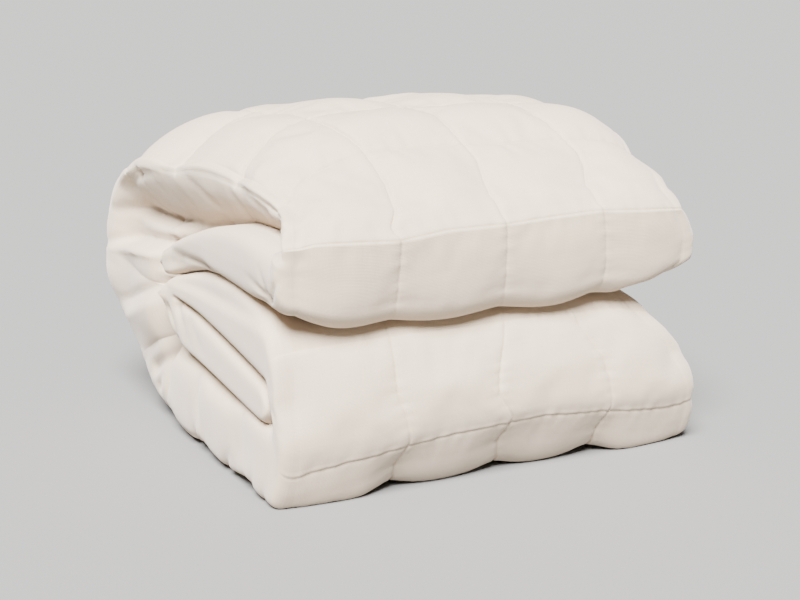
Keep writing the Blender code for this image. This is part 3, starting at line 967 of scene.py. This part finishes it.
class BlanketColours(bpy.types.PropertyGroup):
    """Colours of the cover and the stage."""
    cover: FloatVectorProperty(
        name="Cover", description="Raised threads", subtype="COLOR", size=3,
        default=(0.550, 0.448, 0.345), min=0.0, max=1.0)
    # painted shade: the darker colour given to the gaps between the threads
    shade: FloatVectorProperty(
        name="Threads in shade", description="Gaps between the threads", subtype="COLOR",
        size=3, default=(0.440, 0.345, 0.250), min=0.0, max=1.0)
    # painted shade: the tint that darkens the cover along its seams and hem
    seam: FloatVectorProperty(
        name="Seam shade", description="Tint along a stitched seam", subtype="COLOR",
        size=3, default=(0.97, 0.96, 0.94), min=0.0, max=1.0)
    floor: FloatVectorProperty(
        name="Floor", description="Pale studio floor", subtype="COLOR", size=3,
        default=(0.17, 0.17, 0.17), min=0.0, max=1.0)
    threads: FloatProperty(
        name="Threads", description="Threads to the metre, each way", default=950.0)


# Operators
class BLANKET_OT_cover(bpy.types.Operator):
    """Build the filled cover, swollen and stitched in squares"""
    bl_idname = "blanket.cover"
    bl_label = "Filled cover"

    def execute(self, context):
        settings = context.scene.blanket_sizes
        points, row, ring = cover_points(settings)
        mesh = mesh_from("filled_blanket", points, grid_faces(*row.shape))
        paint_cloth(mesh, row, ring)
        mesh.materials.append(cover_material(context.scene.blanket_colours))
        cover = bpy.data.objects.new("filled_blanket", mesh)
        context.scene.collection.objects.link(cover)
        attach(cover, "root")
        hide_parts("blanket")
        return {"FINISHED"}


def paint_cloth(mesh, row, ring):
    """Cloth coordinates in metres, across the strip and along it, and a mask of painted shade
    that is one on a stitched seam, falls off beside it as a bell curve, and is 0.6 along the
    hem line."""
    across, through = [np.broadcast_to(values, row.shape) for values in ring[:2]]
    wrap = END_WRAP * (1.0 - through) * (np.abs(across) == 1.0)
    sideways = across * HALF + np.sign(across) * wrap
    flat = np.stack((sideways, row * PITCH), axis=-1).reshape(-1, 2)
    corners = np.empty(len(mesh.loops), dtype=np.int32)
    mesh.loops.foreach_get("vertex_index", corners)
    layer = mesh.uv_layers.new(name="cloth")
    layer.data.foreach_set("uv", flat[corners].ravel())

    away = np.abs(seam_sides(row, across)).min(axis=0)
    shown = (row > -1.5) & (row < 12.0) & (through > 0.5)
    mask = np.exp(-(away / 0.0009)**2) * shown
    below, hemmed = hem_places(row, across, through)
    mask = np.maximum(mask, 0.6 * np.exp(-(below / 0.0010)**2) * hemmed)
    # the seam attribute carries painted shade along the seams and the hem
    seam = mesh.attributes.new("seam", "FLOAT", "POINT")
    seam.data.foreach_set("value", mask.ravel().astype(np.float32))


# The stage and the camera
FLOOR_HALF = 60.0            # half the floor's side
FLOOR_DROP = 0.0005          # how far it lies below the part
LIGHT_FROM = (-0.38, -0.48, 0.80)
LIGHT_SPREAD = 30.0          # how wide the light is seen, in degrees
LIGHT_STRENGTH = 25.5
SURROUND_COLOUR = (1.0, 0.88, 0.74)
SURROUND_STRENGTH = 0.12
CAMERA_PLACE = (-0.649, -1.240, 0.438)
CAMERA_TURN = 28.0           # to the right of +Y, in degrees
CAMERA_PITCH = 13.27         # below level, in degrees
FOCAL_LENGTH = 1569.0        # in pixels of the image
IMAGE_WIDTH = 800.0          # in pixels
SENSOR_WIDTH = 36.0          # in millimetres


def camera_matrix(place, turn, pitch):
    """Camera looking level turned to the right of +Y by turn, then down by pitch."""
    sine, cosine = math.sin(turn), math.cos(turn)
    fall, level = math.sin(pitch), math.cos(pitch)
    forward = Vector((level * sine, level * cosine, -fall))
    right = Vector((cosine, -sine, 0.0))
    up = Vector((fall * sine, fall * cosine, level))
    turned = Matrix((right, up, -forward)).transposed()
    return Matrix.Translation(place) @ turned.to_4x4()


def add_soft_light(name, towards, spread, strength):
    """A far-off light seen in one direction, as wide as its spread in degrees."""
    light = bpy.data.lights.new(name, "SUN")
    light.energy = strength
    light.angle = math.radians(spread)
    light.color = (1.0, 0.99, 0.97)
    lamp = bpy.data.objects.new(name, light)
    lamp.rotation_euler = (-Vector(towards)).to_track_quat("-Z", "Y").to_euler()
    bpy.context.scene.collection.objects.link(lamp)


class BLANKET_OT_stage(bpy.types.Operator):
    """Set the pale floor, the soft light and the camera"""
    bl_idname = "blanket.stage"
    bl_label = "Stage"

    def execute(self, context):
        scene = context.scene
        corners = FLOOR_HALF * np.array(((-1, -1, 0), (1, -1, 0), (1, 1, 0), (-1, 1, 0)))
        floor_mesh = mesh_from("studio_floor", corners, [[0, 1, 2, 3]])
        floor_mesh.materials.append(floor_material(scene.blanket_colours.floor))
        floor = bpy.data.objects.new("studio_floor", floor_mesh)
        floor.location.z = -FLOOR_DROP
        scene.collection.objects.link(floor)

        world = bpy.data.worlds.new("soft studio")
        world.use_nodes = True
        background = world.node_tree.nodes["Background"]
        background.inputs["Color"].default_value = (*SURROUND_COLOUR, 1.0)
        background.inputs["Strength"].default_value = SURROUND_STRENGTH
        scene.world = world
        add_soft_light("large soft light", LIGHT_FROM, LIGHT_SPREAD, LIGHT_STRENGTH)

        camera = bpy.data.cameras.new("photo camera")
        camera.sensor_width = SENSOR_WIDTH
        camera.lens = SENSOR_WIDTH * FOCAL_LENGTH / IMAGE_WIDTH
        camera_object = bpy.data.objects.new("photo camera", camera)
        camera_object.matrix_world = camera_matrix(
            Vector(CAMERA_PLACE), math.radians(CAMERA_TURN), math.radians(CAMERA_PITCH))
        scene.collection.objects.link(camera_object)
        scene.camera = camera_object
        return {"FINISHED"}


class BLANKET_PT_parts(bpy.types.Panel):
    """The blanket's parts"""
    bl_label = "Weighted blanket"
    bl_idname = "BLANKET_PT_parts"
    bl_space_type = "VIEW_3D"
    bl_region_type = "UI"
    bl_category = "Blanket"

    def draw(self, context):
        layout = self.layout
        for operator in OPERATORS:
            layout.operator(operator.bl_idname)
        for group in (context.scene.blanket_sizes, context.scene.blanket_colours):
            box = layout.box()
            for name in group.__annotations__:
                box.prop(group, name)


OPERATORS = (BLANKET_OT_cover, BLANKET_OT_stage)
CLASSES = (BlanketSizes, BlanketColours) + OPERATORS + (BLANKET_PT_parts,)


def register():
    for item in CLASSES:
        bpy.utils.register_class(item)
    bpy.types.Scene.blanket_sizes = PointerProperty(type=BlanketSizes)
    bpy.types.Scene.blanket_colours = PointerProperty(type=BlanketColours)


def unregister():
    del bpy.types.Scene.blanket_colours
    del bpy.types.Scene.blanket_sizes
    for item in reversed(CLASSES):
        bpy.utils.unregister_class(item)


def main():
    register()
    bpy.ops.blanket.cover()
    bpy.ops.blanket.stage()


if __name__ == "__main__":
    main()
